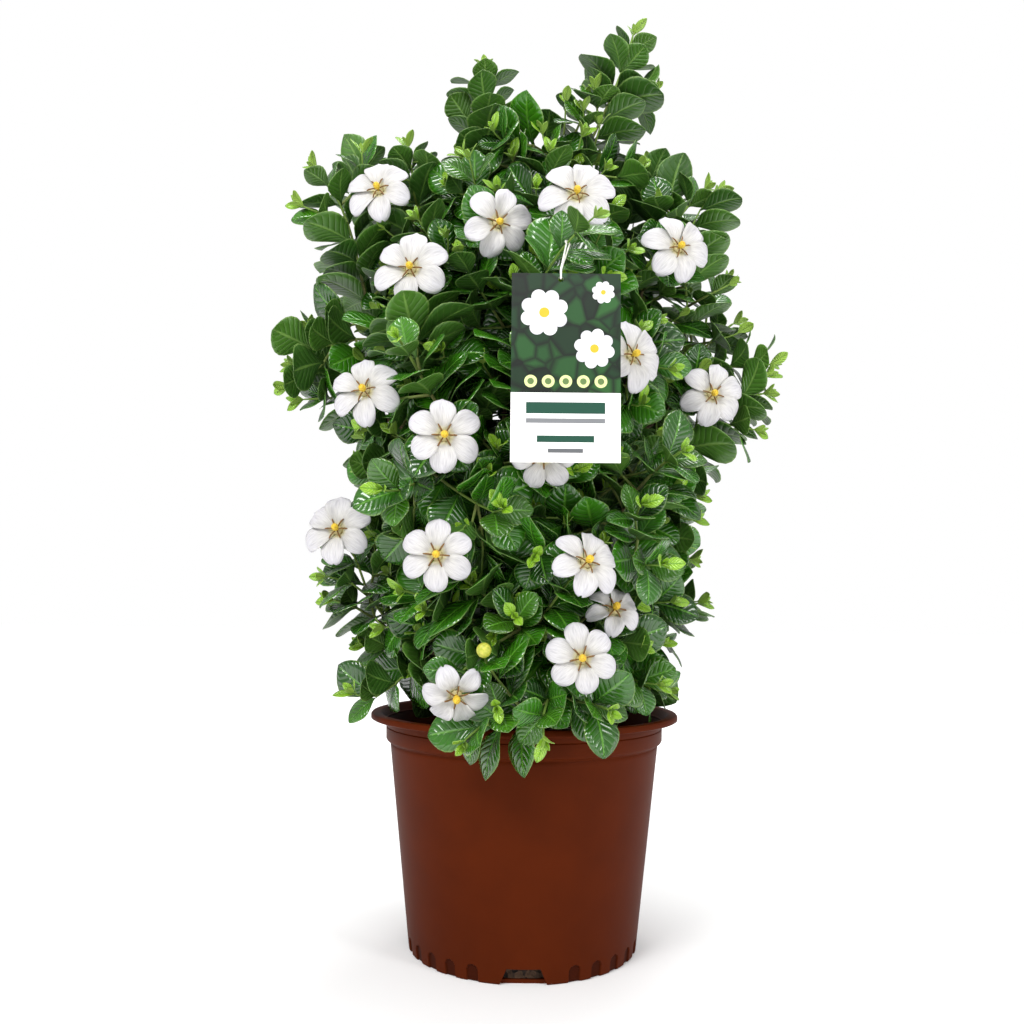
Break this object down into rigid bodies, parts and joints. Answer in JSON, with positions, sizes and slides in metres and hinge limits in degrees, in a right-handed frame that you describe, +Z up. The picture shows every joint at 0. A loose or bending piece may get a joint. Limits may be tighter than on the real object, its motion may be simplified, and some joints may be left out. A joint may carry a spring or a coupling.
{
  "type": "potted gardenia",
  "caption": "Single-flowered gardenia shrub with eighteen white flowers in a reddish-brown two-gallon nursery pot, with a hanging care tag.",
  "frame": {"origin": "the pot's axis at the flat underside of its foot", "axes": "+Z up along the pot's axis, the plant's front with the tag towards -Y, +X to the right seen from the front"},
  "size_m": [0.4458, 0.3696, 0.8419],
  "materials": {
    "pot_plastic": "satin",
    "potting_soil": "matte",
    "bark": "matte",
    "tag_card": "satin",
    "tag_string": "matte",
    "flower_bud": "satin",
    "leaf": "gloss",
    "petal": "matte",
    "stigma": "matte"
  },
  "bodies": {
    "root": {"pot": "pot_plastic", "soil": "potting_soil", "woody_stems": "bark", "shoot_01": "leaf", "shoot_02": "leaf", "shoot_03": "leaf", "shoot_04": "leaf", "shoot_05": "leaf", "shoot_06": "leaf", "shoot_07": "leaf", "shoot_08": "leaf", "shoot_09": "leaf", "shoot_10": "leaf", "shoot_11": "leaf", "shoot_12": "leaf", "shoot_13": "leaf", "shoot_14": "leaf", "shoot_15": "leaf", "shoot_16": "leaf", "shoot_17": "leaf", "shoot_18": "leaf", "corolla_01": "petal", "corolla_02": "petal", "corolla_03": "petal", "corolla_04": "petal", "corolla_05": "petal", "corolla_06": "petal", "corolla_07": "petal", "corolla_08": "petal", "corolla_09": "petal", "corolla_10": "petal", "corolla_11": "petal", "corolla_12": "petal", "corolla_13": "petal", "corolla_14": "petal", "corolla_15": "petal", "corolla_16": "petal", "corolla_17": "petal", "corolla_18": "petal", "stigma_01": "stigma", "stigma_02": "stigma", "stigma_03": "stigma", "stigma_04": "stigma", "stigma_05": "stigma", "stigma_06": "stigma", "stigma_07": "stigma", "stigma_08": "stigma", "stigma_09": "stigma", "stigma_10": "stigma", "stigma_11": "stigma", "stigma_12": "stigma", "stigma_13": "stigma", "stigma_14": "stigma", "stigma_15": "stigma", "stigma_16": "stigma", "stigma_17": "stigma", "stigma_18": "stigma", "flower_bud": "flower_bud", "tag_card": "tag_card", "tag_string": "tag_string"}
  },
  "joints": []
}
